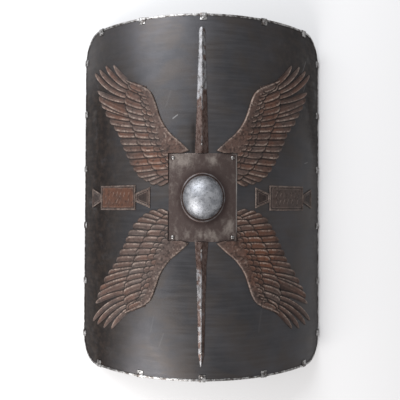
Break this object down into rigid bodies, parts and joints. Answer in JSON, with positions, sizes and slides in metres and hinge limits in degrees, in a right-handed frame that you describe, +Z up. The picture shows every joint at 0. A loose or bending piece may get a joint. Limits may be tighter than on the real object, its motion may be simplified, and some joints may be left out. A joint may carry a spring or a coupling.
{
  "type": "roman scutum shield",
  "caption": "Tall curved rectangular Roman legionary shield of dark steel with domed boss, spine, spread feathered wings, side tablets and a strapped rim, lying face up.",
  "frame": {"origin": "middle of the shield's footprint, on the surface it lies on", "axes": "+Y towards the shield's top edge, +X across it to the right as seen from its face, +Z up out of its face"},
  "size_m": [0.6942, 0.9432, 0.226],
  "materials": {
    "dark_steel": "blackened rolled sheet, soft sheen, streaked and scratched",
    "worn_steel": "bare edge steel worn bright, spotted with rust",
    "rusty_steel": "rust-brown relief with rubbed silver edges",
    "boss_steel": "polished, softly pitted"
  },
  "bodies": {
    "root": {"board": "dark_steel", "rim": "worn_steel", "boss": "boss_steel", "boss_plate": "rusty_steel", "plate_rivet_top_left": "worn_steel", "plate_rivet_top_right": "worn_steel", "plate_rivet_bottom_left": "worn_steel", "plate_rivet_bottom_right": "worn_steel", "spine_upper": "rusty_steel", "spine_lower": "rusty_steel", "spine_rivet_upper_near": "worn_steel", "spine_rivet_upper_far": "worn_steel", "spine_rivet_lower_near": "worn_steel", "spine_rivet_lower_far": "worn_steel", "spine_rivet_lower_end": "worn_steel", "tablet_left": "rusty_steel", "tablet_right": "rusty_steel", "wing_upper_left": "rusty_steel", "wing_upper_right": "rusty_steel", "wing_lower_left": "rusty_steel", "wing_lower_right": "rusty_steel", "grip": "dark_steel", "grip_rivet_left": "dark_steel", "grip_rivet_right": "dark_steel", "clip_top_far_left": "worn_steel", "clip_top_left": "worn_steel", "clip_top_middle": "worn_steel", "clip_top_right": "worn_steel", "clip_top_far_right": "worn_steel", "clip_bottom_far_left": "worn_steel", "clip_bottom_left": "worn_steel", "clip_bottom_middle": "worn_steel", "clip_bottom_right": "worn_steel", "clip_bottom_far_right": "worn_steel", "clip_left_a": "worn_steel", "clip_left_b": "worn_steel", "clip_left_c": "worn_steel", "clip_left_d": "worn_steel", "clip_left_e": "worn_steel", "clip_left_f": "worn_steel", "clip_right_a": "worn_steel", "clip_right_b": "worn_steel", "clip_right_c": "worn_steel", "clip_right_d": "worn_steel", "clip_right_e": "worn_steel", "clip_right_f": "worn_steel"}
  },
  "joints": []
}
